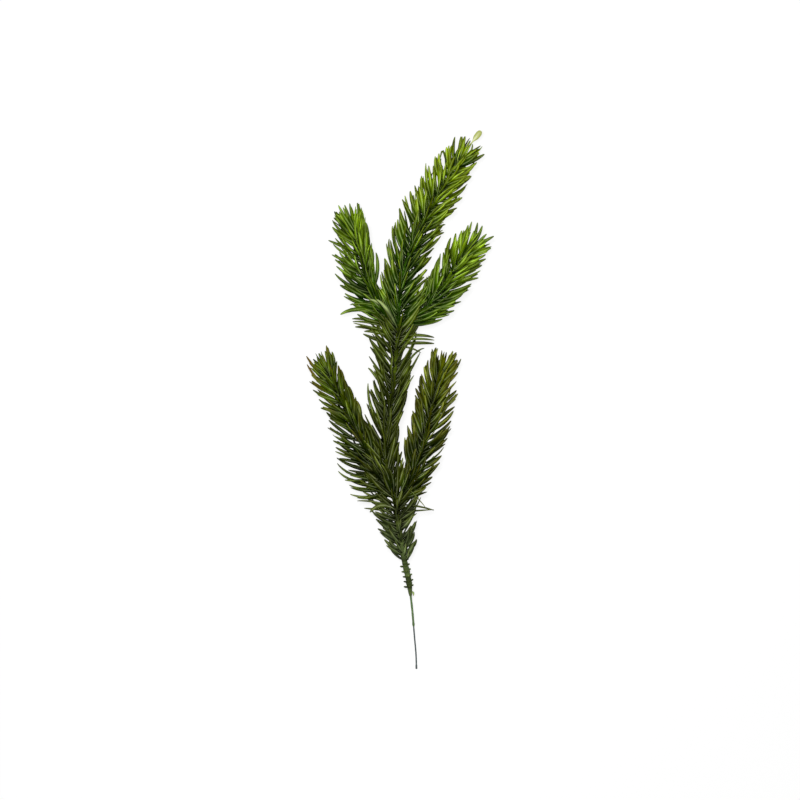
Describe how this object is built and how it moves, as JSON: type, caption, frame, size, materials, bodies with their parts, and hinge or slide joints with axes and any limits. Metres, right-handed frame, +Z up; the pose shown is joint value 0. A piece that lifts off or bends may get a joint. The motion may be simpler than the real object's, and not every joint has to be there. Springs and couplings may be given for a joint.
{
  "type": "artificial spruce branch",
  "caption": "Artificial spruce branch: a needled leader and paired side sprigs on a thorny stem with a cut wire end, lying flat.",
  "frame": {"origin": "centre of the spray's plan box, on the surface that it lies on", "axes": "+Y from the cut wire towards the leader's tip, +Z up from the surface, +X to the right as seen from above"},
  "size_m": [0.1128, 0.3238, 0.0274],
  "materials": {
    "fresh_needles": "satin moulded polyethylene, yellow-green",
    "stem_needles": "satin moulded polyethylene, mid green",
    "old_needles": "satin moulded polyethylene, dark olive",
    "wire_coating": "thin green coating",
    "bare_wire": "dull grey-green steel wire"
  },
  "bodies": {
    "root": {"leader": "fresh_needles", "upper_left_sprig": "fresh_needles", "upper_right_sprig": "fresh_needles", "middle_stem": "stem_needles", "lower_stem": "stem_needles", "lower_left_sprig": "old_needles", "lower_right_sprig": "old_needles", "wire_coating": "wire_coating", "wire_stem": "bare_wire"}
  },
  "joints": []
}
